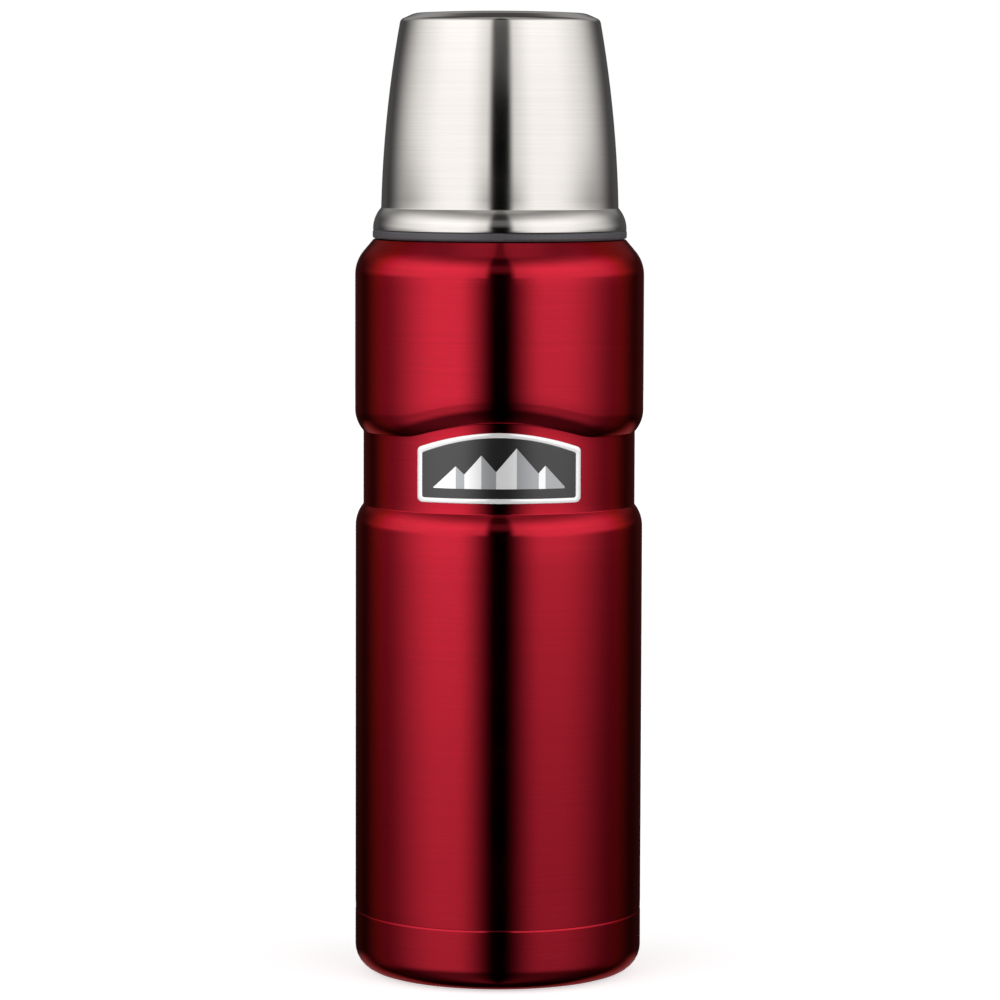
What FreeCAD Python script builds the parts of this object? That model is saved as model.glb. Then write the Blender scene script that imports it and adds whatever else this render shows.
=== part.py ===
"""Vacuum-insulated steel drinking bottle with a twist-to-pour stopper and a screw-on cup.

Millimetres, +Z up.  The origin is the centre of the foot, on the surface the bottle stands on,
and the badge faces -Y.  Every sheet-metal piece is a form at its outer skin less the same form
inset by the sheet's thickness, so bends, steps and the embossed arch keep a constant wall.
Both threads are right-handed: turning anticlockwise, seen from above, lifts the piece off.
"""
import FreeCAD, Part

import math
import os

# Vessel: radii, from the outside in
barrel_radius = 36.8
upper_barrel_gain = 0.15        # the upper barrel is a little wider than the lower one
waist_depth = 2.0               # how far the waist band lies below the lower barrel
shell_wall = 0.5
vacuum_gap = 2.4                # between the waist's inner skin and the inner bottle
liner_wall = 0.45
neck_gap = 0.65                 # vacuum between the two walls of the neck

# Vessel: heights
seam_height = 16.0              # weld between the base cup and the outer shell
waist_bottom = 120.6
waist_height = 18.8
lower_edge_round = 9.0          # rounding of the lower barrel into the waist
upper_edge_round = 8.7          # rounding of the upper barrel into the waist
shoulder_rise = 40.0            # from the waist's top edge to where the shoulder starts
shoulder_round = 9.3
shoulder_turn = 40.0            # degrees that the shoulder's round turns before its cone
shoulder_height = 9.0           # from the shoulder's start to the flat ledge under the cup
neck_height = 9.6               # lip above the ledge
neck_root_round = 1.0
lip_thickness = 0.45

# Foot
base_round = 6.65
recess_radius = 28.0
recess_taper = 1.5
recess_depth = 3.0
dimple_radius = 5.0
dimple_depth = 1.2
pump_hole_radius = 1.2
base_disc_thickness = 0.5
base_disc_margin = 0.8
plug_margin = 2.0

# Inner bottle
liner_floor_gap = 5.0           # vacuum between the base and the inner bottle's bottom
liner_bottom_height = 9.5
liner_mouth_height = 38.0       # formed mouth piece of the inner bottle, from the lip down
liner_round = 8.0
liner_shoulder_drop = 23.0      # from the lip down to the top of the inner bottle's chamber
seal_ledge_drop = 19.9          # from the lip down to the ledge that the seal sits on
seal_ledge_width = 2.6
foil_thickness = 0.15
foil_gap = 0.15
foil_margin = 12.0              # bare length at each end of the foil
getter_radius = 4.0
getter_thickness = 1.6
getter_offset = 14.0
clip_wall = 0.4

# Arch and badge on the front
arch_half_angle = 39.0
arch_rise = 4.0
badge_half_angle = 36.5
badge_lift = 2.8                # badge's lower edge above the waist's lower edge
badge_clearance = 2.3           # between the badge and the edge of the waist above it
badge_thickness = 0.6
badge_corner = 1.0
badge_border = 1.25
face_depth = 0.25
face_proud = 0.05
emblem_relief = 0.2
peak_margin = 1.6               # from the badge's border up to the foot of the peaks
peak_shapes = ((-3.2, 8.6, 9.0), (6.2, 6.2, 6.2))   # centre, half width and height of each

# Threads, the same section for neck and cup
thread_starts = 2
thread_pitch = 5.0
thread_depth = 0.9
thread_root_width = 2.6
thread_crest_width = 1.6
thread_clearance = 0.3          # crest to the opposite wall
thread_sink = 0.25              # how far a ridge is buried in its own wall
neck_thread_length = 9.0
neck_thread_drop = 3.0          # from the lip down to the top of the neck's thread
cup_thread_length = 8.0

# Stopper
seat_gap = 0.1                  # soft pieces stand this far off the faces they press on
gasket_thickness = 1.0
collar_height = 12.0
collar_wall = 2.0
collar_round = 0.5
plug_wall = 3.2
nose_length = 8.0
nose_clearance = 0.6
nose_round = 2.0
nose_wall = 1.4
seal_thickness = 2.0
seal_groove_height = 2.4
seal_groove_depth = 3.8         # below the plug's surface
seal_clearance = 0.3
spigot_length = 3.6
pour_width = 11.0
pour_depth = 1.5
cap_rim = 0.5                   # the cap's rim lies this far inside the collar's edge
cap_thickness = 2.0
cap_spigot = 1.5
cap_round = 1.2
grip_height = 6.0
grip_width = 12.0
grip_margin = 3.0
grip_round = 2.0
foam_gap = 0.1

# Cup: radii, from the outside in, and heights
ring_overhang = 0.25            # grey lip ring beyond the ledge's edge
ring_gap = 0.2                  # between the lip ring and the ledge
ring_height = 2.2
ring_round = 0.6
bead_inset = 0.1
bead_depth = 2.05
bead_height = 5.2
bead_round = 8.7
cup_wall = 0.45
cup_side_round = 310.0
cup_side_lean = 1.3             # degrees inward at the bottom of the side
cup_height = 57.8               # lip ring's underside to the top of the crown
crown_height = 0.55
bevel_width = 3.7               # sloped ring between the side and the crown
bevel_height = 1.65
top_edge_round = 1.5
crown_edge_round = 6.0
insert_gap = 0.4
insert_wall = 1.1
insert_headroom = 5.0           # air between the insert's top and the steel
insert_top_round = 4.0
cup_gasket_width = 2.2
cup_gasket_height = 1.1
cup_gasket_clearance = 0.25
cup_bore_run = 2.0              # plain bore beyond each end of the cup's thread

# Worked out from the values above
upper_radius = barrel_radius + upper_barrel_gain
waist_radius = barrel_radius - waist_depth
waist_top = waist_bottom + waist_height
shoulder_start = waist_top + shoulder_rise
ledge_height = shoulder_start + shoulder_height
rim_height = ledge_height + neck_height
liner_radius = waist_radius - shell_wall - vacuum_gap
turn = math.radians(shoulder_turn)
cone_foot_height = shoulder_start + shoulder_round * math.sin(turn)
cone_foot_radius = upper_radius - shoulder_round * (1 - math.cos(turn))
ledge_radius = cone_foot_radius - (ledge_height - cone_foot_height) * math.tan(turn)
ring_radius = ledge_radius + ring_overhang
ring_bottom = ledge_height + ring_gap
ring_top = ring_bottom + ring_height
bead_radius = ring_radius - bead_inset
bead_top = ring_top + bead_height
cup_side_radius = bead_radius - bead_depth
cup_top = ring_bottom + cup_height
collar_bottom = rim_height + seat_gap + gasket_thickness
collar_top = collar_bottom + collar_height
cup_thread_bottom = collar_bottom + (collar_height - cup_thread_length) / 2
cup_thread_top = cup_thread_bottom + cup_thread_length
lean = math.radians(cup_side_lean)
side_centre_height = bead_top - cup_side_round * math.sin(lean)
side_centre_radius = cup_side_radius - cup_side_round * math.cos(lean)


def cup_side(height, inset):
    """Radius of the cup's long side curve at a height, inset from its outer skin."""
    rise = height - side_centre_height
    return side_centre_radius + math.sqrt((cup_side_round - inset) ** 2 - rise ** 2)


cup_bore_top = cup_thread_top + cup_bore_run
cup_bore = cup_side(cup_bore_top, cup_wall + insert_gap + insert_wall)
collar_radius = cup_bore - thread_depth - thread_clearance
neck_radius = collar_radius - thread_depth - seal_clearance + seat_gap
mouth_radius = neck_radius - shell_wall - neck_gap - liner_wall
plug_radius = mouth_radius - thread_depth - thread_clearance
ledge_under_lip = rim_height - seal_ledge_drop
throat_radius = mouth_radius - seal_ledge_width
nose_radius = throat_radius - nose_clearance
groove_bottom = ledge_under_lip + seat_gap - (seal_groove_height - seal_thickness) / 2
groove_top = groove_bottom + seal_groove_height
nose_bottom = groove_bottom - nose_length
groove_radius = plug_radius - seal_groove_depth
plug_bore = plug_radius - plug_wall
neck_thread_top = rim_height - neck_thread_drop
neck_thread_bottom = neck_thread_top - neck_thread_length
floor_height = recess_depth + shell_wall
liner_floor = floor_height + liner_floor_gap
liner_seam = liner_floor + liner_bottom_height
mouth_seam = rim_height - liner_mouth_height
liner_chamber_top = rim_height - liner_shoulder_drop

ORIGIN = FreeCAD.Vector(0, 0, 0)
UP = FreeCAD.Vector(0, 0, 1)
FRONT = FreeCAD.Vector(0, -1, 0)
OVERRUN = 5.0                   # how far cutting solids run past what they cut
TOUCHING = 1e-6                 # points of an outline nearer than this are one point
pieces = {}


def at(radius, height):
    """Point of an outline in the XZ plane."""
    return FreeCAD.Vector(radius, 0, height)


def closed_wire(path):
    """Closed wire through a path: a point is joined by a line, a (middle, end) pair by an arc."""
    edges = []
    here = path[0]
    for step in path[1:] + path[:1]:
        if isinstance(step, tuple):
            middle, end = step
            edges.append(Part.Arc(here, middle, end).toShape())
            here = end
        elif here.distanceToPoint(step) > TOUCHING:
            edges.append(Part.LineSegment(here, step).toShape())
            here = step
    return Part.Wire(edges)


def turned(path):
    """Solid turned about Z from a closed outline."""
    return Part.Face(closed_wire(path)).revolve(ORIGIN, UP, 360)


def arc_to(centre, radius, first, last):
    """The (middle, end) of an arc about a centre, between two angles in degrees from +X."""
    middle = math.radians((first + last) / 2)
    end = math.radians(last)
    return (centre + radius * at(math.cos(middle), math.sin(middle)),
            centre + radius * at(math.cos(end), math.sin(end)))


def drum(radius, bottom, top, bottom_round=0.0, top_round=0.0):
    """Upright cylinder on the axis, with rounded edges."""
    path = [at(0, bottom), at(radius - bottom_round, bottom)]
    if bottom_round:
        path.append(arc_to(at(radius - bottom_round, bottom + bottom_round), bottom_round, -90, 0))
    path.append(at(radius, top - top_round))
    if top_round:
        path.append(arc_to(at(radius - top_round, top - top_round), top_round, 0, 90))
    path.append(at(0, top))
    return turned(path)


def ring(outer, inner, bottom, top, edge_round=0.0):
    """Flat ring or tube on the axis, its outer edges rounded."""
    bore = drum(inner, bottom - OVERRUN, top + OVERRUN)
    return drum(outer, bottom, top, edge_round, edge_round).cut(bore)


def run_of_round(radius, depth):
    """Length along the axis in which a tangent round comes in by a depth."""
    return math.sqrt(radius ** 2 - (radius - depth) ** 2)


def soften(shape, radius, height, rounding):
    """Round the level circular edge that lies nearest a radius and height."""
    def miss(edge):
        return math.hypot(edge.Curve.Radius - radius, edge.Curve.Center.z - height)

    level = [edge for edge in shape.Edges if not edge.Degenerated
             and isinstance(edge.Curve, Part.Circle) and abs(edge.Curve.Axis.z) > 0.99]
    return shape.makeFillet(rounding, [min(level, key=miss)])


def one(shape):
    """A clean single shape: merged faces, no leftover seams."""
    return shape.removeSplitter()


def thread(wall_radius, bottom, length, outward, phase):
    """Helical ridges on a wall: outward on a screw, inward in a nut.  Phase is a share of the pitch."""
    side = 1 if outward else -1
    root = wall_radius - side * thread_sink
    crest = wall_radius + side * thread_depth
    lead = thread_starts * thread_pitch
    ridges = []
    for start in range(thread_starts):
        helix = Part.makeHelix(lead, length, wall_radius)
        section = closed_wire([at(root, -thread_root_width / 2), at(crest, -thread_crest_width / 2),
                               at(crest, thread_crest_width / 2), at(root, thread_root_width / 2)])
        ridge = Part.Wire(helix).makePipeShell([section], True, True)
        ridge.rotate(ORIGIN, UP, 360.0 * (start - phase) / thread_starts - 360.0 * bottom / lead)
        ridge.translate(FreeCAD.Vector(0, 0, bottom))
        ridges.append(ridge)
    return ridges


def arched_panel(half_width, bottom, corner_height, crown, depth):
    """Prism with upright sides and an arched top, running from the axis out through the front."""
    outline = closed_wire([at(-half_width, bottom), at(-half_width, corner_height),
                           (at(0, crown), at(half_width, corner_height)), at(half_width, bottom)])
    return Part.Face(outline).extrude(FRONT * depth)


def body_form(inset):
    """The vessel's outer form, inset from its skin."""
    lower_top = waist_bottom - run_of_round(lower_edge_round, waist_depth) + lower_edge_round
    lower = drum(barrel_radius - inset, inset, lower_top - inset,
                 base_round - inset, lower_edge_round - inset)
    step = waist_depth + upper_barrel_gain
    upper_bottom = waist_top + run_of_round(upper_edge_round, step) - upper_edge_round
    edge_centre = at(upper_radius - upper_edge_round, upper_bottom + upper_edge_round)
    shoulder_centre = at(upper_radius - shoulder_round, shoulder_start)
    cone_foot = shoulder_centre + (shoulder_round - inset) * at(math.cos(turn), math.sin(turn))
    cone_run = (ledge_height - inset - cone_foot.z) * math.tan(turn)
    upper = turned([at(0, upper_bottom + inset),
                    at(edge_centre.x, upper_bottom + inset),
                    arc_to(edge_centre, upper_edge_round - inset, -90, 0),
                    at(upper_radius - inset, shoulder_start),
                    arc_to(shoulder_centre, shoulder_round - inset, 0, shoulder_turn),
                    at(cone_foot.x - cone_run, ledge_height - inset),
                    at(0, ledge_height - inset)])
    arch_width = waist_radius * math.sin(math.radians(arch_half_angle)) + inset
    arch = arched_panel(arch_width, upper_bottom - OVERRUN, waist_top + inset,
                        waist_top + arch_rise + inset, barrel_radius + OVERRUN)
    upper = upper.cut(arch)
    waist = drum(waist_radius - inset, waist_bottom - OVERRUN, waist_top + OVERRUN + arch_rise)
    neck = drum(neck_radius - inset, shoulder_start, rim_height + OVERRUN)
    form = upper.fuse([lower, waist, neck])
    form = soften(form, neck_radius - inset, ledge_height - inset, neck_root_round + inset)
    recess = Part.makeCone(recess_radius + inset, recess_radius - recess_taper + inset,
                           recess_depth + inset)
    dimple = drum(dimple_radius + inset, 0, recess_depth + dimple_depth + inset)
    return form.cut([recess, dimple])


def make_shell():
    """Outer wall above the seam and base cup below it."""
    wall = body_form(0).cut(body_form(shell_wall))
    everything = barrel_radius + OVERRUN
    above = drum(everything, seam_height, rim_height - lip_thickness)
    below = drum(everything, -OVERRUN, seam_height)
    pieces["outer_shell"] = one(wall.common(above))
    pump_hole = drum(pump_hole_radius, 0, floor_height + OVERRUN)
    pieces["shell_base"] = one(wall.common(below)).cut(pump_hole)
    disc_radius = recess_radius - recess_taper - base_disc_margin
    pieces["base_disc"] = drum(disc_radius, recess_depth - base_disc_thickness, recess_depth)
    pieces["vacuum_plug"] = drum(dimple_radius - plug_margin, recess_depth,
                                 recess_depth + dimple_depth)


def liner_form(inset):
    """The inner bottle's outer form, inset from its skin: chamber, throat and neck."""
    chamber = drum(liner_radius - inset, liner_floor + inset, liner_chamber_top - inset,
                   liner_round - inset, liner_round - inset)
    throat = drum(throat_radius + liner_wall - inset, liner_chamber_top - liner_round,
                  ledge_under_lip)
    neck = drum(mouth_radius + liner_wall - inset, ledge_under_lip - liner_wall + inset,
                rim_height + inset)
    return chamber.fuse([throat, neck])


def make_liner():
    """Inner bottle: tube, bottom, and mouth with its rolled thread and lip; foil and getter."""
    wall = liner_form(0).cut(liner_form(liner_wall))
    reach = liner_radius + OVERRUN
    lip = ring(neck_radius, mouth_radius, rim_height - lip_thickness, rim_height)
    ridges = thread(mouth_radius, neck_thread_bottom, neck_thread_length, False, 0.5)
    mouth = wall.common(drum(reach, mouth_seam, rim_height))
    pieces["liner_mouth"] = one(mouth.fuse([lip] + ridges))
    pieces["inner_liner"] = one(wall.common(drum(reach, liner_seam, mouth_seam)))
    pieces["liner_bottom"] = one(wall.common(drum(reach, 0, liner_seam)))
    foil_radius = liner_radius + foil_gap
    pieces["radiation_foil"] = ring(foil_radius + foil_thickness, foil_radius,
                                    liner_floor + foil_margin, liner_chamber_top - foil_margin)
    clip_radius = getter_radius + clip_wall
    clip = drum(clip_radius, floor_height, floor_height + getter_thickness)
    pocket = drum(getter_radius, floor_height + clip_wall, floor_height + OVERRUN)
    pellet = drum(getter_radius, floor_height + clip_wall, floor_height + clip_wall + getter_thickness)
    for name, shape in (("getter_clip", clip.cut(pocket)), ("getter", pellet)):
        shape.translate(FreeCAD.Vector(getter_offset, 0, 0))
        pieces[name] = shape


def badge_layer(margin, inner, outer):
    """Curved plate on the front between two radii, its edge a margin inside the badge's edge."""
    half_width = waist_radius * math.sin(math.radians(badge_half_angle)) - margin
    bottom = waist_bottom + badge_lift + margin
    corner_height = waist_top - badge_clearance - margin
    panel = arched_panel(half_width, bottom, corner_height, corner_height + arch_rise,
                         outer + OVERRUN)
    corners = [edge for edge in panel.Edges
               if isinstance(edge.Curve, Part.Line) and abs(edge.Curve.Direction.y) > 0.99]
    panel = panel.makeFillet(badge_corner, corners)
    return panel.common(ring(outer, inner, bottom - OVERRUN, corner_height + arch_rise + OVERRUN))


def make_badge():
    """Bordered arched plate on the waist, with a plain field and a mountain relief."""
    plate_radius = waist_radius + badge_thickness
    floor_radius = plate_radius - face_depth
    face_radius = plate_radius + face_proud
    plate = badge_layer(0, waist_radius, plate_radius)
    pieces["badge_plate"] = plate.cut(badge_layer(badge_border, floor_radius, plate_radius + OVERRUN))
    pieces["badge_face"] = badge_layer(badge_border, floor_radius, face_radius)
    foot = waist_bottom + badge_lift + 2 * badge_border + peak_margin
    peaks = []
    for centre, half_width, height in peak_shapes:
        outline = closed_wire([at(centre - half_width, foot), at(centre, foot + height),
                               at(centre + half_width, foot)])
        peaks.append(Part.Face(outline).extrude(FRONT * (face_radius + OVERRUN)))
    relief = ring(face_radius + emblem_relief, face_radius, waist_bottom, waist_top)
    pieces["badge_emblem"] = one(peaks[0].fuse(peaks[1]).common(relief))


def make_stopper():
    """Collar and plug with both threads, nose, seal, foam, cap and gasket."""
    seal = ring(plug_radius, groove_radius + seal_clearance, ledge_under_lip + seat_gap,
                ledge_under_lip + seat_gap + seal_thickness)
    pieces["stopper_seal"] = seal

    plug = drum(plug_radius, groove_top, collar_bottom + collar_wall)
    collar = drum(collar_radius, collar_bottom, collar_top, collar_round, collar_round)
    body = one(plug.fuse(collar))
    ridges = thread(plug_radius, neck_thread_bottom, neck_thread_length, True, 0.0)
    ridges += thread(collar_radius, cup_thread_bottom, cup_thread_length, True, 0.0)
    body = body.fuse(ridges)
    well = drum(collar_radius - collar_wall, collar_bottom + collar_wall, collar_top + OVERRUN)
    bore = drum(plug_bore, groove_top - OVERRUN, collar_top)
    pour_floor = plug_radius - pour_depth
    pour_reach = mouth_radius + OVERRUN
    channel = Part.makeBox(2 * pour_reach, pour_width, collar_bottom - groove_top,
                           FreeCAD.Vector(-pour_reach, -pour_width / 2, groove_top))
    channel = channel.cut(drum(pour_floor, groove_top - OVERRUN, collar_top))
    pieces["stopper_body"] = one(body.cut([well, bore, channel]))

    nose = drum(nose_radius, nose_bottom, groove_bottom, nose_round, 0)
    waist = drum(groove_radius, groove_bottom - nose_wall, groove_top)
    spigot = drum(plug_bore, groove_top, groove_top + spigot_length)
    cavity = drum(groove_radius - nose_wall, nose_bottom + nose_wall, groove_top + OVERRUN)
    pieces["stopper_base"] = one(nose.fuse([waist, spigot]).cut(cavity))

    spigot_top = groove_top + spigot_length
    well_floor = collar_bottom + collar_wall
    cap_bottom = collar_top - cap_spigot
    foam = drum(groove_radius - nose_wall - foam_gap, nose_bottom + nose_wall + foam_gap,
                spigot_top + OVERRUN)
    foam = foam.fuse([drum(plug_bore - foam_gap, spigot_top + foam_gap, well_floor + OVERRUN),
                      drum(collar_radius - collar_wall - foam_gap, well_floor + foam_gap,
                           cap_bottom - foam_gap)])
    pieces["stopper_foam"] = one(foam)

    cap = drum(collar_radius - cap_rim, collar_top, collar_top + cap_thickness, 0, cap_round)
    plug_in = drum(collar_radius - collar_wall, cap_bottom, collar_top)
    grip_reach = collar_radius - cap_rim - grip_margin
    grip = drum(grip_reach, collar_top, collar_top + cap_thickness + grip_height, 0, grip_round)
    bar = Part.makeBox(2 * grip_reach, grip_width, cap_thickness + grip_height,
                       FreeCAD.Vector(-grip_reach, -grip_width / 2, collar_top))
    long_edges = [edge for edge in bar.Edges
                  if abs(edge.Curve.Direction.x) > 0.99 and edge.BoundBox.ZMin > collar_top + 1]
    bar = bar.makeFillet(grip_round, long_edges)
    pieces["stopper_cap"] = one(cap.fuse([plug_in, grip.common(bar)]))

    pieces["stopper_gasket"] = ring(neck_radius, plug_radius + seat_gap,
                                    rim_height + seat_gap, collar_bottom)


def cup_form(inset, bottom, drop):
    """The cup's side and crown, inset from its skin, its top lowered by a drop."""
    top = cup_top - drop
    crown_foot = top - crown_height
    bevel_foot = crown_foot - bevel_height
    inner_crown = cup_side(bevel_foot, inset) - bevel_width
    middle = (bead_top + bevel_foot) / 2
    side = turned([at(0, bottom), at(cup_side(bottom, inset), bottom),
                   (at(cup_side(middle, inset), middle), at(cup_side(bevel_foot, inset), bevel_foot)),
                   at(inner_crown, crown_foot),
                   (at(inner_crown / 2, top - crown_height / 4), at(0, top))])
    side = soften(side, inner_crown, crown_foot, crown_edge_round)
    return soften(side, cup_side(bevel_foot, inset), bevel_foot, top_edge_round)


def inside_side(inset, bottom, top, top_round):
    """Solid within the cup's side curve between two heights, its top edge rounded."""
    middle = (bottom + top) / 2
    core = turned([at(0, bottom), at(cup_side(bottom, inset), bottom),
                   (at(cup_side(middle, inset), middle), at(cup_side(top, inset), top)),
                   at(0, top)])
    return soften(core, cup_side(top, inset), top, top_round)


def make_cup():
    """Steel cup, its moulded insert with the grey lip, and the soft ring under the lip."""
    skin = cup_form(0, ring_top, 0).fuse(
        drum(bead_radius, ring_top, ring_top + bead_round, 0, bead_round))
    core = cup_form(cup_wall, ring_top - OVERRUN, cup_wall).fuse(
        drum(bead_radius - cup_wall, ring_top - OVERRUN, ring_top + bead_round - cup_wall,
             0, bead_round - cup_wall))
    pieces["cup_shell"] = one(skin.cut(core))

    outer_inset = cup_wall + insert_gap
    inner_inset = outer_inset + insert_wall
    insert_top = cup_top - insert_headroom
    hollow_top = insert_top - insert_wall
    block = inside_side(outer_inset, ring_top, insert_top, insert_top_round)
    lip = drum(ring_radius, ring_bottom, ring_top, ring_round, ring_round)
    hollow = inside_side(inner_inset, cup_bore_top, hollow_top, insert_top_round - insert_wall)
    bore = drum(cup_bore, ring_bottom - OVERRUN, cup_bore_top)
    ridges = thread(cup_bore, cup_thread_bottom, cup_thread_length, False, 0.5)
    gasket_middle = (cup_bore + ring_radius) / 2
    gasket_outer = gasket_middle + cup_gasket_width / 2
    gasket_inner = gasket_middle - cup_gasket_width / 2
    groove = ring(gasket_outer + cup_gasket_clearance, gasket_inner - cup_gasket_clearance,
                  ring_bottom - OVERRUN, ring_bottom + cup_gasket_height)
    insert = one(block.fuse(lip)).cut([hollow, bore, groove])
    pieces["cup_liner"] = one(insert.fuse(ridges))
    pieces["cup_gasket"] = ring(gasket_outer, gasket_inner, ledge_height + seat_gap,
                                ring_bottom + cup_gasket_height - cup_gasket_clearance)


make_shell()
make_liner()
make_badge()
make_stopper()
make_cup()

os.makedirs("parts", exist_ok=True)
for name, shape in pieces.items():
    shape.exportStep(os.path.join("parts", name + ".step"))
    print(f"{name:16s} solids {len(shape.Solids)}  valid {shape.isValid()}  "
          f"volume {shape.Volume / 1000:8.3f} cm3  z {shape.BoundBox.ZMin:7.2f} to {shape.BoundBox.ZMax:7.2f}")
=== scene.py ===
# %% [markdown]
# # A vacuum bottle, dressed in Blender
#
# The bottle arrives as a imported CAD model: a frame of named solids that ride on moving bodies. This
# lesson keeps that frame where it is and gives every visible surface its finish. Pieces whose shape is
# softer than the CAD solids, such as the pressed steel skin, are made again from formulas.
# Everything is in metres, the bottle stands on z = 0 and its badge faces -Y.

# %% Load the frame
import math
import bpy
import numpy as np
from mathutils import Matrix


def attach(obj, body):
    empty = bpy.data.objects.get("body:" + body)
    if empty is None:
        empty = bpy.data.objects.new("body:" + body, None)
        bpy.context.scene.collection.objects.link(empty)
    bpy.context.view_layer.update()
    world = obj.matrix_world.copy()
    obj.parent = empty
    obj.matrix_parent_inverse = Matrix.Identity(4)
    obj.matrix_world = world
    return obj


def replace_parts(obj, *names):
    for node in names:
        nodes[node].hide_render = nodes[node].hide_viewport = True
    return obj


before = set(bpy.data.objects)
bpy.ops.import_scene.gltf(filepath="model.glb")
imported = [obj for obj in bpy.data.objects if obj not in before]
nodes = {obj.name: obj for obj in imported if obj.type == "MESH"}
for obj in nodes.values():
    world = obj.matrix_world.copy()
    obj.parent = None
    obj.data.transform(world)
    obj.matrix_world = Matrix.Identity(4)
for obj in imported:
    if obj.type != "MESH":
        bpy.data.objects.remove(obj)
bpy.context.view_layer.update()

MM = 0.001

# %% [markdown]
# ## A path with rounded corners
#
# Nearly every piece of a bottle is turned: a profile swept round the upright axis. Such a profile could
# be drawn as a Bezier curve, but a maker's drawing gives straight runs and the rounding at each corner.
# So one function takes exactly that. A rounding r between two runs that turn by an angle a cuts
# r tan(a/2) off both runs and joins them by a circular arc.

# %% Rounded path
ARC_STEPS = 8


def rounded_path(corners, closed=False):
    """Points of a path given as corners (across, up, rounding, steps of the run that follows).

    At a corner P between unit directions d and e that turn by a, the arc starts at P - d r tan(a/2) and
    its centre lies r / cos(a/2) from P along e - d; its points are the start turned about that centre.
    """
    points = np.array([c[:2] for c in corners], float)
    count = len(points)
    before, after = np.roll(points, 1, 0), np.roll(points, -1, 0)
    stops = []
    for i, (_, _, rounding, _) in enumerate(corners):
        end = not closed and i in (0, count - 1)
        if end or not rounding:
            stops.append(points[i:i + 1])
            continue
        d, e = points[i] - before[i], after[i] - points[i]
        d, e = d / np.hypot(*d), e / np.hypot(*e)
        angle = math.atan2(d[0] * e[1] - d[1] * e[0], d @ e)
        start = points[i] - d * rounding * abs(math.tan(angle / 2))
        centre = points[i] + (e - d) / np.hypot(*(e - d)) * rounding / math.cos(angle / 2)
        turn = np.linspace(0, angle, ARC_STEPS + 1)
        arm = start - centre
        stops.append(centre + np.stack([arm[0] * np.cos(turn) - arm[1] * np.sin(turn),
                                        arm[0] * np.sin(turn) + arm[1] * np.cos(turn)], 1))
    path = []
    for i, stop in enumerate(stops):
        path.append(stop)
        if closed or i < count - 1:
            share = np.linspace(0, 1, corners[i][3] + 1)[1:-1, None]
            path.append(stop[-1] + share * (stops[(i + 1) % count][0] - stop[-1]))
    return np.concatenate(path)


# %% [markdown]
# ## From a grid of points to a mesh
#
# A surface worked out on a grid of two parameters becomes quads between neighbouring rows and columns.
# Whole arrays of corner numbers are made at once, so no loop runs over the vertices. A row may close on
# itself, as round a bottle, and a first or last row that sits on the axis becomes a single pole.

# %% Grid mesh
def grid_mesh(name, points, wrap_rows=False, first_pole=False, last_pole=False):
    """Mesh object from points[row, column], metres: columns run round and close, rows may close too.

    Faces point to the left-hand side of the rows' direction, which is outwards for a profile that runs
    up the outside.  A pole row is one vertex joined to its neighbour row by triangles.
    """
    rows, columns = points.shape[:2]
    body = points[int(first_pole):rows - int(last_pole)]
    height = len(body)
    number = np.arange(height * columns).reshape(height, columns)
    low = number if wrap_rows else number[:-1]
    high = np.roll(number, -1, 0) if wrap_rows else number[1:]
    quads = np.stack([low, np.roll(low, -1, 1), np.roll(high, -1, 1), high], -1).reshape(-1, 4)
    vertices, faces = [body.reshape(-1, 3)], quads.tolist()
    ends = ((first_pole, points[0], number[0], 1), (last_pole, points[-1], number[-1], -1))
    for wanted, row, edge, flip in ends:
        if wanted:
            pole = sum(len(v) for v in vertices)
            vertices.append(row[:1])
            fan = np.stack([np.full(columns, pole), np.roll(edge, -1), edge], 1)
            faces += fan[:, ::flip].tolist()
    mesh = bpy.data.meshes.new(name)
    mesh.from_pydata(np.concatenate(vertices), [], faces)
    mesh.polygons.foreach_set("use_smooth", np.ones(len(mesh.polygons), bool))
    mesh.update()
    piece = bpy.data.objects.new(name, mesh)
    bpy.context.scene.collection.objects.link(piece)
    print(f"{name}: {len(mesh.vertices)} vertices, {len(mesh.polygons)} faces")
    return piece


# %% [markdown]
# ## Turned skins
#
# The steel walls are half a millimetre of sheet. Sweeping only the outer face and letting a Solidify
# modifier add the thickness inwards keeps the wall even round every bend, as drawing steel does.

# %% Turned skin
COLUMNS = 288


def turned(name, profile, wall=None, lift=None, **poles):
    """Skin from a profile (radius, height) in mm, turned about Z, with an inward wall thickness in mm.

    A point of the profile at angle t goes to (r cos t, r sin t, h + lift(t, h)).
    """
    angle = np.linspace(0, 2 * np.pi, COLUMNS, endpoint=False)[None, :]
    radius, height = profile[:, :1], profile[:, 1:]
    raised = height + (lift(angle, height) if lift else 0 * angle)
    around = np.stack([radius * np.cos(angle), radius * np.sin(angle), raised], -1)
    piece = grid_mesh(name, around * MM, **poles)
    if wall:
        thickness = piece.modifiers.new("sheet", "SOLIDIFY")
        thickness.thickness = wall * MM
        thickness.offset = -1.0
        thickness.use_even_offset = True
    return piece


# %% [markdown]
# ## The red outer wall
#
# The wall is one drawn tube: a long lower barrel, a waist two millimetres deep for the badge, an upper
# barrel, and a shoulder that folds in to a plain neck. The two edges of the waist are wide rounds that
# end in a tight crease. The upper edge is pressed up into a low arch over the badge. A boolean could
# cut that arch, but here the profile's own points slide up and down the wall instead, so the round
# follows the arch without a seam.

# %% Outer wall
WALL = 0.5
LOWER, UPPER, WAIST, NECK = 36.8, 36.95, 34.8, 25.37
SEAM, WAIST_FOOT, WAIST_TOP, LEDGE, RIM = 16.0, 120.6, 139.4, 188.4, 197.55
# Height of the corner where the upper barrel turns into the sloping shoulder, before it is rounded, and
# the radius where that slope meets the ledge.
SHOULDER, LEDGE_EDGE = 182.785, 32.24
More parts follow.
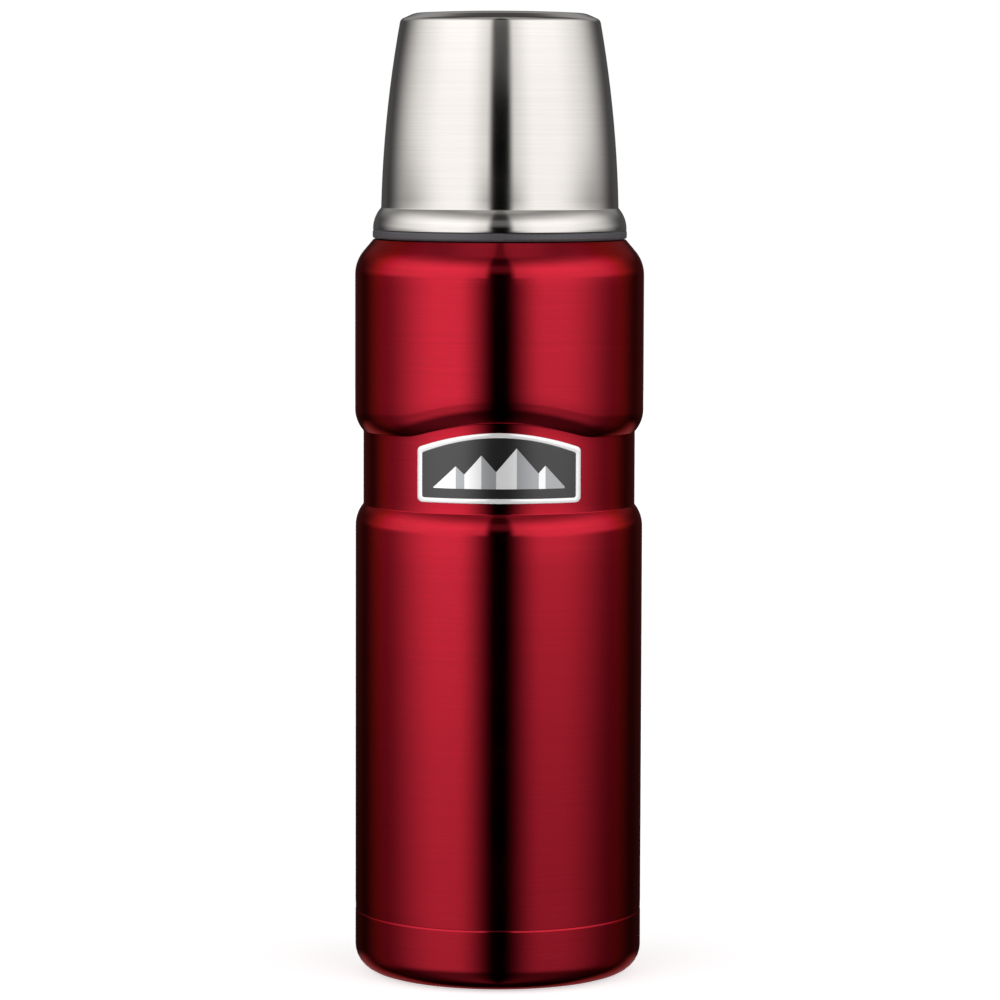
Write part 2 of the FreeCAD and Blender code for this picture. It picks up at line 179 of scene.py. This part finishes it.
# How far the wall necks in at the seam, and over what height.
SEAM_NECK, SEAM_RUN = 0.08, 2.2
# The arch: half its width round the bottle, its rise, how softly it ends, and where it fades out above.
ARCH_HALF, ARCH_RISE, ARCH_BLEND, ARCH_FADE, ARCH_TOP = math.radians(39.0), 4.0, 0.16, 26.0, 172.0


def edge_corner(barrel, waist, rounding):
    """How far from the waist's edge the two tangents of a round of that size meet, along the wall."""
    angle = math.acos(1 - (barrel - waist) / rounding)
    return rounding * math.sin(angle) - rounding * math.tan(angle / 2)


def arch_lift(angle, height):
    """Rise of the pressed arch: a parabola 1 - (sin t / sin 39)^2 about the front, eased into zero by
    (p + sqrt(p^2 + b^2)) / 2, and faded out above and below the waist's edge."""
    across = np.cos(angle) / math.sin(ARCH_HALF)
    front = np.where(np.sin(angle) < 0, 1 - across ** 2, -3.0)
    eased = (front + np.sqrt(front ** 2 + ARCH_BLEND ** 2)) / 2
    low = np.clip((height - (WAIST_FOOT + 4)) / (WAIST_TOP - WAIST_FOOT - 5), 0, 1)
    high = np.clip((ARCH_TOP - height) / ARCH_FADE, 0, 1)
    return ARCH_RISE * eased * low * high * high * (3 - 2 * high)


outer_profile = rounded_path([
    (LOWER - SEAM_NECK, SEAM, 0, 1),
    (LOWER - 0.077, SEAM + 0.06, 0, 2),
    (LOWER, SEAM + SEAM_RUN, 30, 12),
    (LOWER, WAIST_FOOT - edge_corner(LOWER, WAIST, 9.0), 8.6, 1),
    (WAIST, WAIST_FOOT, 0.38, 10),
    (WAIST, WAIST_TOP, 0.38, 1),
    (UPPER, WAIST_TOP + edge_corner(UPPER, WAIST, 8.7), 8.3, 12),
    (UPPER, SHOULDER, 9.3, 3),
    (LEDGE_EDGE, LEDGE, 0.5, 3),
    (NECK, LEDGE, 1.0, 4),
    (NECK, RIM, 0, 1)])
outer_wall = turned("outer_wall", outer_profile, WALL, arch_lift)
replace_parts(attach(outer_wall, "bottle"), "outer_shell")

# %% [markdown]
# ## The base cup
#
# The foot is a second pressing, welded to the wall at a seam that the lacquer doesn't quite hide. Its
# edge turns up into a recess that protects the vacuum seal. The seam reads as a fine groove: the wall
# necks in by a little under a tenth of a millimetre above it, and the cup's rim rolls in below it.

# %% Base cup
SEAL_POCKET, SEAL_HEIGHT = 5.0, 4.2
RECESS, RECESS_HEIGHT = 26.5, 3.0
FOOT_RING, FOOT_ROUND = 28.0, 6.65
base_profile = rounded_path([
    (0.0, SEAL_HEIGHT, 0, 1),
    (SEAL_POCKET, SEAL_HEIGHT, 0.6, 1),
    (SEAL_POCKET + 0.4, RECESS_HEIGHT, 0.6, 10),
    (RECESS, RECESS_HEIGHT, 0.9, 2),
    (FOOT_RING, 0.0, 0.7, 4),
    (LOWER, 0.0, FOOT_ROUND, 4),
    (LOWER, SEAM - 0.5, 0.6, 2),
    (LOWER - 0.07, SEAM, 0, 1)])
base_cup = turned("base_cup", base_profile, WALL, first_pole=True)
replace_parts(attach(base_cup, "bottle"), "shell_base")

# %% [markdown]
# ## The drinking cup
#
# The cup is spun steel: a long side that curves in very slowly, a bevelled ring, and a crown that is
# almost flat. Its mouth is rolled into a quarter-round bead that steps out over the grey lip. The side
# is an arc of 310 mm radius, so its height is sampled and the radius follows from the circle.

# %% Cup
CUP_ARC, ARC_HEIGHT, ARC_CENTRE = 310.0, 188.967, -279.58
BEAD_FOOT, BEAD, BEAD_TOP, BEAD_ROUND, BEAD_END = 190.8, 32.39, 193.979, 7.9, 196.41
BEVEL_FOOT, CUP_WALL = 244.2, 0.45
CROWN_EDGE, CROWN_FOOT, CROWN_TOP = 21.76, 245.85, 246.4
side_heights = np.linspace(BEAD_END, BEVEL_FOOT, 12)
side_radii = ARC_CENTRE + np.sqrt(CUP_ARC ** 2 - (side_heights - ARC_HEIGHT) ** 2)
crown_radii = np.array([16.3, 10.9, 5.4, 0.0])
crown_heights = CROWN_TOP - (CROWN_TOP - CROWN_FOOT) * (crown_radii / CROWN_EDGE) ** 2
cup_profile = rounded_path(
    [(BEAD, BEAD_FOOT, 0, 1), (BEAD, BEAD_FOOT + 0.1, 0, 1), (BEAD, BEAD_TOP, BEAD_ROUND, 1),
     (side_radii[0], BEAD_END, 0.35, 2)]
    + [(r, h, 0, 2) for r, h in zip(side_radii[1:-1], side_heights[1:-1])]
    + [(side_radii[-1], BEVEL_FOOT, 1.5, 3), (CROWN_EDGE, CROWN_FOOT, 6.0, 2)]
    + [(r, h, 0, 3) for r, h in zip(crown_radii, crown_heights)])
steel_cup = turned("steel_cup", cup_profile, CUP_WALL, last_pole=True)
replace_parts(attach(steel_cup, "cup"), "cup_shell")

# %% [markdown]
# ## The badge
#
# The badge is a thin plate with an arched top, bent to the waist. Each of its layers is an outline
# drawn flat and then laid on a cylinder: a point (x, z) at radius R goes to y = -sqrt(R^2 - x^2).
# The border is a small section carried round the outline, so its edges catch the light as a struck
# metal edge does. The field inside is a stack of shrinking outlines that end in one point.

# %% Badge outline
BADGE_HALF, BADGE_FOOT, BADGE_CORNER, BADGE_ROUND, BORDER = 20.45, 123.4, 137.1, 1.3, 1.25
FIELD_RADIUS, RELIEF_RADIUS = 35.30, 35.52


def badge_outline(margin):
    """Closed outline (x, z) in mm, inset by a margin: straight foot and sides under a parabolic top."""
    half, foot, corner = BADGE_HALF - margin, BADGE_FOOT + margin, BADGE_CORNER - margin
    rounding = max(BADGE_ROUND - margin * 0.6, 0.4)
    across = np.linspace(half, -half, 25)[1:-1]
    top = corner + ARCH_RISE * (1 - (across / half) ** 2)
    right = [(-half, foot, rounding, 24), (half, foot, rounding, 4), (half, corner, rounding, 1)]
    arch = [(x, z, 0, 1) for x, z in zip(across, top)]
    return rounded_path(right + arch + [(-half, corner, rounding, 4)], closed=True)


def on_cylinder(flat, radius):
    """Points (x, z) in mm laid on a cylinder of that radius, on the front: y = -sqrt(R^2 - x^2)."""
    x, z = flat[..., 0], flat[..., 1]
    radius = np.broadcast_to(radius, x.shape)
    return np.stack([x, -np.sqrt(radius ** 2 - x ** 2), z], -1) * MM


# %% Badge border and field
# The border's section as (margin, radius): a bar with rounded edges, crowned by a few hundredths of a mm.
border_section = [(0.0, 34.72), (0.0, 35.26), (0.05, 35.35), (0.16, 35.40), (0.62, 35.42),
                  (BORDER - 0.16, 35.40), (BORDER - 0.05, 35.35), (BORDER, 35.26), (BORDER, 34.90)]
border_rows = [on_cylinder(badge_outline(margin), radius) for margin, radius in border_section]
border = grid_mesh("badge_border", np.stack(border_rows), wrap_rows=True)
field_shares = np.sin(np.linspace(0, np.pi / 2, 14))
field_edge = badge_outline(BORDER - 0.02)
field_middle = np.array([0.0, (BADGE_FOOT + BADGE_CORNER + ARCH_RISE) / 2])
field_rows = [on_cylinder(field_middle + (field_edge - field_middle) * share, FIELD_RADIUS)
              for share in field_shares[::-1]]
field_rows.insert(0, on_cylinder(field_edge, FIELD_RADIUS - 0.14))
field = grid_mesh("badge_field", np.stack(field_rows), last_pole=True)
for piece, node, slot in ((border, "badge_plate", "badge_border"), (field, "badge_face", "badge_enamel")):
    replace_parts(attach(piece, "bottle"), node)

# %% [markdown]
# ## The mountain relief
# The badge carries a plain range of peaks. Each column of the grid runs from the foot line up to the
# skyline, which is the highest of a few tent shapes |x - c|, so the skyline is exact however fine the
# grid is. An attribute keeps which flank of its peak a point lies on. The enamel is painted a touch
# greyer on the right-hand flank as painted shade, because the relief is a flat sheet without real slopes.

# %% Relief
PEAKS = np.array([(-10.8, 5.8, 5.6), (-4.4, 7.4, 8.4), (4.4, 8.8, 10.2), (11.6, 5.2, 5.8)])
RELIEF_FOOT, RELIEF_HALF, RELIEF_COLUMNS, RELIEF_ROWS = 127.1, 16.4, 257, 12


def skyline(x):
    """Height of the range at x: the highest of h (1 - |x - c| / w) over the peaks, at least 0.35 mm."""
    centre, half, tall = PEAKS.T[:, :, None]
    return np.maximum((tall * (1 - np.abs(x - centre) / half)).max(0), 0.35)


relief_x = np.linspace(-RELIEF_HALF, RELIEF_HALF, RELIEF_COLUMNS)
relief_v = np.linspace(0, 1, RELIEF_ROWS)[:, None]
relief_flat = np.stack([np.broadcast_to(relief_x, (RELIEF_ROWS, RELIEF_COLUMNS)),
                        RELIEF_FOOT + relief_v * skyline(relief_x)], -1)
front = on_cylinder(relief_flat, RELIEF_RADIUS).reshape(-1, 3)
number = np.arange(len(front)).reshape(RELIEF_ROWS, RELIEF_COLUMNS)
relief_faces = np.stack([number[:-1, :-1], number[:-1, 1:], number[1:, 1:], number[1:, :-1]], -1)
relief_mesh = bpy.data.meshes.new("badge_relief")
relief_mesh.from_pydata(front, [], relief_faces.reshape(-1, 4).tolist())
# Painted shade: the flank attribute is 1 on the right-hand slope of each peak, and the enamel paints that
# slope grey.
slope = np.gradient(skyline(relief_x), relief_x)
flank = np.broadcast_to((slope < 0).astype(np.float32), (RELIEF_ROWS, RELIEF_COLUMNS)).ravel()
relief_mesh.attributes.new("flank", "FLOAT", "POINT").data.foreach_set("value", flank)
relief_mesh.update()
relief = bpy.data.objects.new("badge_relief", relief_mesh)
bpy.context.scene.collection.objects.link(relief)
relief_sheet = relief.modifiers.new("enamel depth", "SOLIDIFY")
relief_sheet.thickness = 0.24 * MM
relief_sheet.offset = -1.0
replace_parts(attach(relief, "bottle"), "badge_emblem")
print(f"skyline {skyline(relief_x).max():.1f} mm tall over {2 * RELIEF_HALF:.0f} mm")

# %% [markdown]
# ## Colours and nodes
#
# A colour picked on a screen is an sRGB number, while a shader adds up light and needs linear values,
# so one function turns the one into the other. Another small function adds a shader node, sets its
# fields and sockets, and links what feeds it, which keeps every material short enough to read.

# %% Helpers for materials
def colour(text):
    """Linear RGBA from an sRGB hex value: c / 12.92 near black, else ((c + 0.055) / 1.055)^2.4."""
    code = np.array([int(text[i:i + 2], 16) for i in (1, 3, 5)]) / 255
    linear = np.where(code <= 0.04045, code / 12.92, ((code + 0.055) / 1.055) ** 2.4)
    return (*linear.tolist(), 1.0)


def add(tree, kind, values=None, links=None, **fields):
    """Add a node of a kind: fields are its own settings, values and links go to its input sockets."""
    node = tree.nodes.new(kind)
    for name, value in fields.items():
        setattr(node, name, value)
    for socket, value in (values or {}).items():
        node.inputs[socket].default_value = value
    for socket, source in (links or {}).items():
        tree.links.new(source, node.inputs[socket])
    return node


def new_material(name):
    """Empty material of that name, and its node tree."""
    material = bpy.data.materials.new(name)
    material.use_nodes = True
    material.node_tree.nodes.clear()
    return material, material.node_tree


def dress(piece, material):
    """Give a piece one material on every slot it has."""
    if not piece.data.materials:
        piece.data.materials.append(material)
    for slot in piece.material_slots:
        slot.material = material


# %% [markdown]
# ## Brushed metal
#
# Stainless steel that is spun or drawn and then brushed on a lathe carries fine lines round its axis.
# A noise that is stretched along the lines does this without a texture map: object coordinates are
# scaled so that the noise changes within a fraction of a millimetre upwards and only over centimetres
# sideways, so there is no seam. Real brushing lines lie about 0.1 mm apart; they are drawn at 0.3 mm,
# because finer ones would not show. A second, broader noise gives the uneven gloss that handling leaves.

# %% Brushed metal
def brushed_metal(name, light, dark, roughness, line=0.3, depth=0.004, coat=0.0, tint="#ffffff",
                  smear=0.02):
    """Metal whose colour runs between light and dark along brushing lines a given number of mm apart."""
    material, tree = new_material(name)
    place = add(tree, "ShaderNodeTexCoord").outputs["Object"]
    lines_place = add(tree, "ShaderNodeMapping", {"Scale": (18, 18, 1 / (line * MM))}, {"Vector": place})
    lines = add(tree, "ShaderNodeTexNoise", {"Scale": 1.0, "Detail": 3.0, "Roughness": 0.65},
                {"Vector": lines_place.outputs[0]})
    handling = add(tree, "ShaderNodeTexNoise", {"Scale": 55.0, "Detail": 4.0, "Roughness": 0.6},
                   {"Vector": place})
    paint = add(tree, "ShaderNodeMix", {6: colour(dark), 7: colour(light)},
                {"Factor": lines.outputs["Fac"]}, data_type="RGBA")
    gloss = add(tree, "ShaderNodeMapRange",
                {"From Min": 0.3, "From Max": 0.7, "To Min": roughness - smear, "To Max": roughness + smear},
                {"Value": handling.outputs["Fac"]})
    bump = add(tree, "ShaderNodeBump", {"Strength": 0.25, "Distance": depth * MM},
               {"Height": lines.outputs["Fac"]})
    shader = add(tree, "ShaderNodeBsdfPrincipled",
                 {"Metallic": 1.0, "Coat Weight": coat, "Coat Roughness": 0.03, "Coat IOR": 1.5,
                  "Specular Tint": colour(tint)},
                 {"Base Color": paint.outputs[2], "Roughness": gloss.outputs[0], "Normal": bump.outputs[0]})
    add(tree, "ShaderNodeOutputMaterial", links={"Surface": shader.outputs[0]})
    return material


# Translucent red lacquer over brushed steel: deep red where it faces a light, black where it doesn't.
candy_red = brushed_metal("Candy red lacquer on brushed steel", "#b81b2e", "#a31326", 0.105,
                          depth=0.003, coat=0.15, tint="#c02030")
# The base cup is brushed the same way, in a red a shade darker than the wall's.
candy_base = brushed_metal("Candy red lacquer on pressed base cup", "#b51a2d", "#a01225", 0.11,
                           depth=0.003, coat=0.15, tint="#c02030")
# Spun and lightly brushed stainless steel: near-white highlights with a soft edge.
spun_steel = brushed_metal("Spun stainless steel, fine brushed", "#d2ceca", "#c5c1bd", 0.11,
                           depth=0.002)
# Drawn stainless steel of the inner bottle: greyer, and less even.
drawn_steel = brushed_metal("Drawn stainless steel, unpolished", "#c4c2c0", "#b4b2b0", 0.28,
                            line=0.5, smear=0.06)
# Rolled steel where the mouth is formed: brighter from the forming rolls.
rolled_steel = brushed_metal("Rolled stainless steel mouth", "#cbc9c8", "#bdbbba", 0.2, line=0.35)
# Plain stamped steel under the foot.
stamped_steel = brushed_metal("Stamped stainless steel disc", "#b9b7b5", "#a8a6a4", 0.34,
                              line=0.6, smear=0.08)
# Bright foil that keeps radiated heat in.
foil = brushed_metal("Wrapped aluminium foil", "#dadbdd", "#c6c7ca", 0.22,
                     line=2.5, depth=0.05, smear=0.08)

# %% [markdown]
# ## Moulded plastic and rubber
#
# Polypropylene from a spark-eroded mould has a fine, even grain with a satin gloss, while silicone is
# smoother and a little see-through. Both take a grain from one noise, whose cell size is the real grain
# of about 0.2 mm, drawn twice as coarse to show, and a slow noise that varies colour and gloss a little.

# %% Moulded plastic
def moulded(name, light, dark, roughness, grain=0.4, depth=0.012, ior=1.49, through=0.0):
    """Plastic or rubber whose colour drifts between light and dark, with a moulded grain in mm."""
    material, tree = new_material(name)
    place = add(tree, "ShaderNodeTexCoord").outputs["Object"]
    fine = add(tree, "ShaderNodeTexNoise", {"Scale": 1 / (grain * MM), "Detail": 2.0}, {"Vector": place})
    slow = add(tree, "ShaderNodeTexNoise", {"Scale": 90.0, "Detail": 5.0, "Roughness": 0.6},
               {"Vector": place})
    paint = add(tree, "ShaderNodeMix", {6: colour(dark), 7: colour(light)},
                {"Factor": slow.outputs["Fac"]}, data_type="RGBA")
    gloss = add(tree, "ShaderNodeMapRange",
                {"From Min": 0.3, "From Max": 0.7, "To Min": roughness - 0.06, "To Max": roughness + 0.06},
                {"Value": slow.outputs["Fac"]})
    bump = add(tree, "ShaderNodeBump", {"Strength": 0.4, "Distance": depth * MM},
               {"Height": fine.outputs["Fac"]})
    shader = add(tree, "ShaderNodeBsdfPrincipled",
                 {"IOR": ior, "Subsurface Weight": through, "Subsurface Scale": 0.002},
                 {"Base Color": paint.outputs[2], "Roughness": gloss.outputs[0], "Normal": bump.outputs[0]})
    add(tree, "ShaderNodeOutputMaterial", links={"Surface": shader.outputs[0]})
    return material


# Dark grey polypropylene of the cup's insert; only its lip ring shows.
lip_plastic = moulded("Moulded polypropylene, warm grey", "#4b494c", "#434144", 0.34)
# Black polypropylene of the stopper: matt, with an even grain.
stopper_plastic = moulded("Moulded polypropylene, black", "#242426", "#1d1d1f", 0.42)
cap_plastic = moulded("Moulded polypropylene, black grip", "#2a2a2c", "#212123", 0.36, grain=0.5)
nose_plastic = moulded("Moulded polypropylene, charcoal", "#343436", "#2c2c2e", 0.4)
# Food-grade silicone: soft, smooth, slightly see-through.
clear_silicone = moulded("Moulded silicone, smoke grey", "#8d8f90", "#818384", 0.3,
                         depth=0.004, ior=1.41, through=0.3)
dark_silicone = moulded("Moulded silicone, dark grey", "#4a4b4c", "#414243", 0.38, depth=0.006, ior=1.41)
# Polyurethane foam inside the stopper, and the pressed pellet that takes up stray gas.
foam = moulded("Foamed polyurethane, cream", "#e6dfc6", "#d6cdb0", 0.85, grain=0.9, depth=0.2, ior=1.45)
pellet = moulded("Pressed zirconium powder", "#6a6762", "#5a5752", 0.7, grain=0.5, depth=0.05)

# %% [markdown]
# ## Enamel of the badge
#
# The dark field is black glass enamel: it shows little but the light it mirrors, one part in sixteen.
# The border and the relief are white enamel with a metallic ground, so they stay pale even where they
# mirror the dark, but are brightest in the light. A faint orange-peel bump, about 0.8 mm from crest to
# crest, keeps the enamel from looking like plastic film.

# %% Enamel
def enamel(name, light, dark, metallic, ior, flank=False):
    """Fired enamel with a slight orange peel, between light and dark by noise, or by flank as painted shade.
    """
    material, tree = new_material(name)
    place = add(tree, "ShaderNodeTexCoord").outputs["Object"]
    peel = add(tree, "ShaderNodeTexNoise", {"Scale": 1 / (0.8 * MM), "Detail": 1.0}, {"Vector": place})
    shade = (add(tree, "ShaderNodeAttribute", attribute_name="flank").outputs["Fac"] if flank
             else peel.outputs["Fac"])
    paint = add(tree, "ShaderNodeMix", {6: colour(light), 7: colour(dark)}, {"Factor": shade},
                data_type="RGBA")
    gloss = add(tree, "ShaderNodeMapRange", {"To Min": 0.1, "To Max": 0.17}, {"Value": peel.outputs["Fac"]})
    bump = add(tree, "ShaderNodeBump", {"Strength": 0.15, "Distance": 0.004 * MM},
               {"Height": peel.outputs["Fac"]})
    shader = add(tree, "ShaderNodeBsdfPrincipled", {"Metallic": metallic, "IOR": ior},
                 {"Base Color": paint.outputs[2], "Roughness": gloss.outputs[0], "Normal": bump.outputs[0]})
    add(tree, "ShaderNodeOutputMaterial", links={"Surface": shader.outputs[0]})
    return material


black_enamel = enamel("Fired enamel, black", "#1c1c1c", "#212121", 0.0, 1.66)
white_enamel = enamel("Fired enamel, white on metal", "#f6f6f6", "#efefef", 0.45, 1.5)
# The relief's grey flank is painted shade: the enamel turns grey where the flank attribute marks the
# right-hand slope.
relief_enamel = enamel("Fired enamel, white, painted shade on one flank", "#f6f6f6", "#a9abad", 0.45, 1.5, flank=True)

# %% [markdown]
# ## Who wears what
#
# New pieces and carried-over CAD solids are dressed alike, by name.

# %% Dress the pieces
for piece, material in ((outer_wall, candy_red), (base_cup, candy_base), (steel_cup, spun_steel),
                        (border, white_enamel), (field, black_enamel), (relief, relief_enamel)):
    dress(piece, material)
wardrobe = {
    "outer_shell": candy_red, "shell_base": candy_base, "base_disc": stamped_steel,
    "vacuum_plug": pellet, "inner_liner": drawn_steel, "liner_mouth": rolled_steel,
    "liner_bottom": drawn_steel, "radiation_foil": foil, "getter": pellet, "getter_clip": stamped_steel,
    "badge_plate": white_enamel, "badge_face": black_enamel, "badge_emblem": relief_enamel,
    "stopper_seal": clear_silicone, "stopper_body": stopper_plastic, "stopper_base": nose_plastic,
    "stopper_foam": foam, "stopper_cap": cap_plastic, "stopper_gasket": clear_silicone,
    "cup_gasket": dark_silicone, "cup_liner": lip_plastic, "cup_shell": spun_steel}
for name, material in wardrobe.items():
    dress(nodes[name], material)
print("dressed", len(wardrobe), "CAD nodes and 6 new pieces; bare:", sorted(set(nodes) - set(wardrobe)))

# %% [markdown]
# ## Where the lacquer stops
#
# The lacquer ends on the ledge under the cup, and the neck that the stopper screws into is bare steel.
# The wall's faces lie row by row as its profile does, so the rows of the profile that reach the ledge
# within 3 mm of the neck say which faces take the second material.

# %% Bare neck
BARE_LEDGE = 3.0
bare = (outer_profile[:-1, 1] > LEDGE - 0.05) & (outer_profile[:-1, 0] < NECK + BARE_LEDGE)
outer_wall.data.materials.append(rolled_steel)
outer_wall.data.polygons.foreach_set("material_index", np.repeat(bare, COLUMNS).astype(np.int32))
print("bare rows of the outer wall:", int(bare.sum()), "of", len(bare))

# %% [markdown]
# ## The studio
#
# Polished metal shows the room more than itself, so the room is what makes this picture. Two tall soft
# boxes stand left and right of the camera with a dark gap between them, and the room behind the bottle
# is dim. Real lamps would do, but a world shader is smoother: it works out the brightness of each
# direction from its azimuth, counted from the camera's side, and its elevation. Every edge of a box is
# one eased step, so the whole studio is a few sums of steps. The camera itself sees plain white.

# %% Directions and eased steps
STUDIO = 2.0
world = bpy.data.worlds.new("studio")
bpy.context.scene.world = world
world.use_nodes = True
sky = world.node_tree
sky.nodes.clear()
direction = add(sky, "ShaderNodeTexCoord").outputs["Generated"]
axes = add(sky, "ShaderNodeSeparateXYZ", links={0: direction}).outputs
toward = add(sky, "ShaderNodeMath", {1: -1.0}, {0: axes[1]}, operation="MULTIPLY").outputs[0]
azimuth = add(sky, "ShaderNodeMath", links={0: axes[0], 1: toward}, operation="ARCTAN2").outputs[0]
elevation = add(sky, "ShaderNodeMath", links={0: axes[2]}, operation="ARCSINE").outputs[0]
away = add(sky, "ShaderNodeMath", links={0: azimuth}, operation="ABSOLUTE").outputs[0]


def steps(angle, base, *edges):
    """Base plus weight * s(t) for each edge (weight, start, end) in degrees, where t runs from 0 at the
    start to 1 at the end and s(t) = 3 t^2 - 2 t^3."""
    total = None
    for weight, start, end in edges:
        ends = {"From Min": math.radians(start), "From Max": math.radians(end)}
        ease = add(sky, "ShaderNodeMapRange", ends, {"Value": angle}, interpolation_type="SMOOTHSTEP")
        so_far = {2: total} if total else {}
        total = add(sky, "ShaderNodeMath", {1: weight, 2: base}, {0: ease.outputs[0], **so_far},
                    operation="MULTIPLY_ADD").outputs[0]
    return total


# %% Soft boxes
# The middle of the gap stands a touch to the right of the camera.
GAP_MIDDLE = math.radians(0.7)
shifted = add(sky, "ShaderNodeMath", {1: GAP_MIDDLE}, {0: azimuth}, operation="SUBTRACT").outputs[0]
aside = add(sky, "ShaderNodeMath", links={0: shifted}, operation="ABSOLUTE").outputs[0]
# Level with the wall only their soft lower part shows; higher up they are crisp and reach further round.
lower_part = steps(aside, 0.0, (1.0, 4, 36), (-0.76, 48, 104), (-0.24, 104, 142))
upper_part = steps(aside, 0.0, (0.7, 7, 14), (0.3, 10, 36), (-0.2, 60, 95), (-0.8, 85, 148))
raised = steps(elevation, 0.0, (1.0, -2, 7))
boxes = add(sky, "ShaderNodeMix", links={"Factor": raised, 2: lower_part, 3: upper_part},
            data_type="FLOAT").outputs[0]
# The right-hand box is the weaker one, most of all near the table.
right_hand = steps(azimuth, 0.0, (1.0, -2, 2))
right_loss = steps(elevation, -0.34, (0.31, -9, 3))
side_share = add(sky, "ShaderNodeMath", {2: 1.0}, {0: right_hand, 1: right_loss},
                 operation="MULTIPLY_ADD").outputs[0]
# A faint rim of light comes round from behind on both sides.
rim = steps(away, 0.0, (0.055, 126, 150))
boxes_and_rim = add(sky, "ShaderNodeMath", links={0: boxes, 1: side_share, 2: rim},
                    operation="MULTIPLY_ADD").outputs[0]
# Top to bottom the boxes are brightest just above the bottle, and the table mirrors little of them.
height_share = steps(elevation, 0.09, (0.33, -42, -22), (0.31, -10, -3.4), (0.05, -3, 3),
                     (-0.62, 20, 68))

# %% Fill and ceiling
# The pale table behind the bottle and a bounce card above it: they light the sides turned away from
# the boxes, and lie too low and too high to be mirrored by the upright wall at the front.
table_near, table_far = steps(elevation, 0.0, (1.0, -58, -42)), steps(elevation, 0.0, (0.24, -12, -20))
card_foot, card_top = steps(elevation, 0.0, (0.06, 8, 18)), steps(elevation, 0.0, (1.0, 42, 32))
card = add(sky, "ShaderNodeMath", links={0: card_foot, 1: card_top}, operation="MULTIPLY").outputs[0]
fill = add(sky, "ShaderNodeMath", links={0: table_far, 1: table_near, 2: card},
           operation="MULTIPLY_ADD").outputs[0]
fill_share = steps(away, 0.0, (1.0, 125, 160))
# Overhead a pale band shows over the gap in every direction, then a dark strip, then the ceiling.
ceiling = steps(elevation, 0.0, (0.09, 10, 26), (-0.07, 34, 46), (0.09, 58, 74))
dim_room = add(sky, "ShaderNodeMath", links={0: fill, 1: fill_share, 2: ceiling},
               operation="MULTIPLY_ADD").outputs[0]
brightness = add(sky, "ShaderNodeMath", links={0: boxes_and_rim, 1: height_share, 2: dim_room},
                 operation="MULTIPLY_ADD").outputs[0]
room = add(sky, "ShaderNodeBackground", {"Strength": STUDIO}, {"Color": brightness})
backdrop = add(sky, "ShaderNodeBackground", {"Color": (1, 1, 1, 1), "Strength": 1.0})
seen = add(sky, "ShaderNodeLightPath").outputs["Is Camera Ray"]
both = add(sky, "ShaderNodeMixShader", links={0: seen, 1: room.outputs[0], 2: backdrop.outputs[0]})
add(sky, "ShaderNodeOutputWorld", links={"Surface": both.outputs[0]})
print("studio:", len(sky.nodes), "nodes, strength", STUDIO)

# %% [markdown]
# ## The table
#
# A round pale table top takes the bottle's soft contact shadow. Mirror rays don't see it, because the
# world already holds what lies below the horizon, and it glows a little so that it stays pale.

# %% Table
TABLE, TABLE_DROP, TABLE_COLUMNS = 2.5, 0.0002, 96
around = np.linspace(0, 2 * np.pi, TABLE_COLUMNS, endpoint=False)
rings = np.array([TABLE, 0.6, 0.15, 0.0])[:, None]
flat = np.full((len(rings), TABLE_COLUMNS), -TABLE_DROP)
table_top = grid_mesh("table_top", np.stack([rings * np.cos(around), rings * np.sin(around), flat], -1),
                      last_pole=True)
table_paint, tree = new_material("Matt white laminate")
place = add(tree, "ShaderNodeTexCoord").outputs["Object"]
speckle = add(tree, "ShaderNodeTexNoise", {"Scale": 400.0, "Detail": 2.0}, {"Vector": place})
pale = add(tree, "ShaderNodeMix", {6: colour("#f2f2f2"), 7: colour("#eeeeee")},
           {"Factor": speckle.outputs["Fac"]}, data_type="RGBA")
top_shader = add(tree, "ShaderNodeBsdfPrincipled",
                 {"Roughness": 0.8, "Emission Color": (1, 1, 1, 1), "Emission Strength": 0.62},
                 {"Base Color": pale.outputs[2]})
# Seen from below the table is clear, so that the underside of the foot can be looked at.
clear = add(tree, "ShaderNodeBsdfTransparent")
below = add(tree, "ShaderNodeNewGeometry").outputs["Backfacing"]
one_sided = add(tree, "ShaderNodeMixShader",
                links={0: below, 1: top_shader.outputs[0], 2: clear.outputs[0]})
add(tree, "ShaderNodeOutputMaterial", links={"Surface": one_sided.outputs[0]})
dress(table_top, table_paint)
table_top.visible_glossy = False

# %% [markdown]
# ## The camera
#
# A long lens from a little over a metre away looks slightly down, at the height of the cup. The view
# transform is Standard, so that white stays white and the lacquer keeps its own red.

# %% Camera
LENS, TILT, ROLL, CAMERA_PLACE = 167.4, 4.8, 0.17, (0.00026, -1.1903, 0.2214)
view = bpy.data.cameras.new("camera")
view.lens, view.sensor_width = LENS, 36.0
view.clip_end = 20.0
camera = bpy.data.objects.new("camera", view)
bpy.context.scene.collection.objects.link(camera)
camera.matrix_world = (Matrix.Translation(CAMERA_PLACE)
                       @ Matrix.Rotation(math.radians(90 - TILT), 4, "X")
                       @ Matrix.Rotation(math.radians(ROLL), 4, "Z"))
bpy.context.scene.camera = camera
bpy.context.scene.view_settings.view_transform = "Standard"
